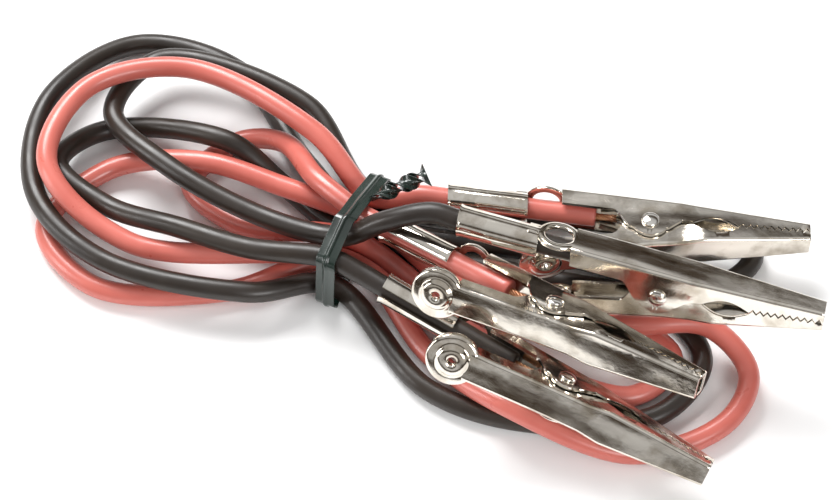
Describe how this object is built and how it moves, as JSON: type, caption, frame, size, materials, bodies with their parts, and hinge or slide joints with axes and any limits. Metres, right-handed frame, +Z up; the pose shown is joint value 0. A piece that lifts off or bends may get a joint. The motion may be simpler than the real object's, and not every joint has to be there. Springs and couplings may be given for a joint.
{
  "type": "alligator clip lead pair",
  "caption": "Red and black insulated test leads with nickel alligator clips on both ends, coiled into a hank and held by a twist tie.",
  "frame": {"origin": "on the ground under the middle of the hank and its clips", "axes": "+X from the tied loops towards the clip tips, +Y towards the back clip, +Z up"},
  "size_m": [0.1122, 0.0764, 0.0193],
  "materials": {
    "nickel": "bright nickel plate",
    "rivet_nickel": "bright nickel plate",
    "spring_steel": "drawn wire",
    "copper": "bare stranded copper",
    "red_pvc": "smooth flexible insulation",
    "black_pvc": "smooth flexible insulation",
    "tie_plastic": "glossy plastic film over wire"
  },
  "bodies": {
    "hank": {"red_wire": "red_pvc", "black_wire": "black_pvc", "tie_band": "tie_plastic", "tie_tail": "tie_plastic", "terminal_jaw_a": "nickel", "rivet_a": "rivet_nickel", "spring_a": "spring_steel", "conductor_a": "copper", "terminal_jaw_b": "nickel", "rivet_b": "rivet_nickel", "spring_b": "spring_steel", "conductor_b": "copper", "terminal_jaw_c": "nickel", "rivet_c": "rivet_nickel", "spring_c": "spring_steel", "conductor_c": "copper", "terminal_jaw_d": "nickel", "rivet_d": "rivet_nickel", "spring_d": "spring_steel", "conductor_d": "copper"},
    "thumb_a": {"thumb_jaw_a": "nickel"},
    "thumb_b": {"thumb_jaw_b": "nickel"},
    "thumb_c": {"thumb_jaw_c": "nickel"},
    "thumb_d": {"thumb_jaw_d": "nickel"}
  },
  "joints": [
    {"name": "open_a", "type": "hinge", "parent": "hank", "child": "thumb_a", "pos_m": [0.03327, 0.00056, 0.00688], "axis": [-0.0093, -0.1025, -0.9947], "range_deg": [0, 22], "stiffness_Nm_per_rad": 0.14, "springref_deg": -32.66, "deforming": ["spring_a"]},
    {"name": "open_b", "type": "hinge", "parent": "hank", "child": "thumb_b", "pos_m": [0.03387, -0.01194, 0.01293], "axis": [0.2372, 0.8875, -0.3951], "range_deg": [0, 22], "stiffness_Nm_per_rad": 0.14, "springref_deg": -32.66, "deforming": ["spring_b"]},
    {"name": "open_c", "type": "hinge", "parent": "hank", "child": "thumb_c", "pos_m": [0.01867, -0.01804, 0.01438], "axis": [-0.1872, -0.4676, -0.8639], "range_deg": [0, 22], "stiffness_Nm_per_rad": 0.14, "springref_deg": -32.66, "deforming": ["spring_c"]},
    {"name": "open_d", "type": "hinge", "parent": "hank", "child": "thumb_d", "pos_m": [0.01987, -0.02624, 0.00813], "axis": [-0.3784, -0.505, -0.7757], "range_deg": [0, 22], "stiffness_Nm_per_rad": 0.14, "springref_deg": -32.66, "deforming": ["spring_d"]}
  ]
}
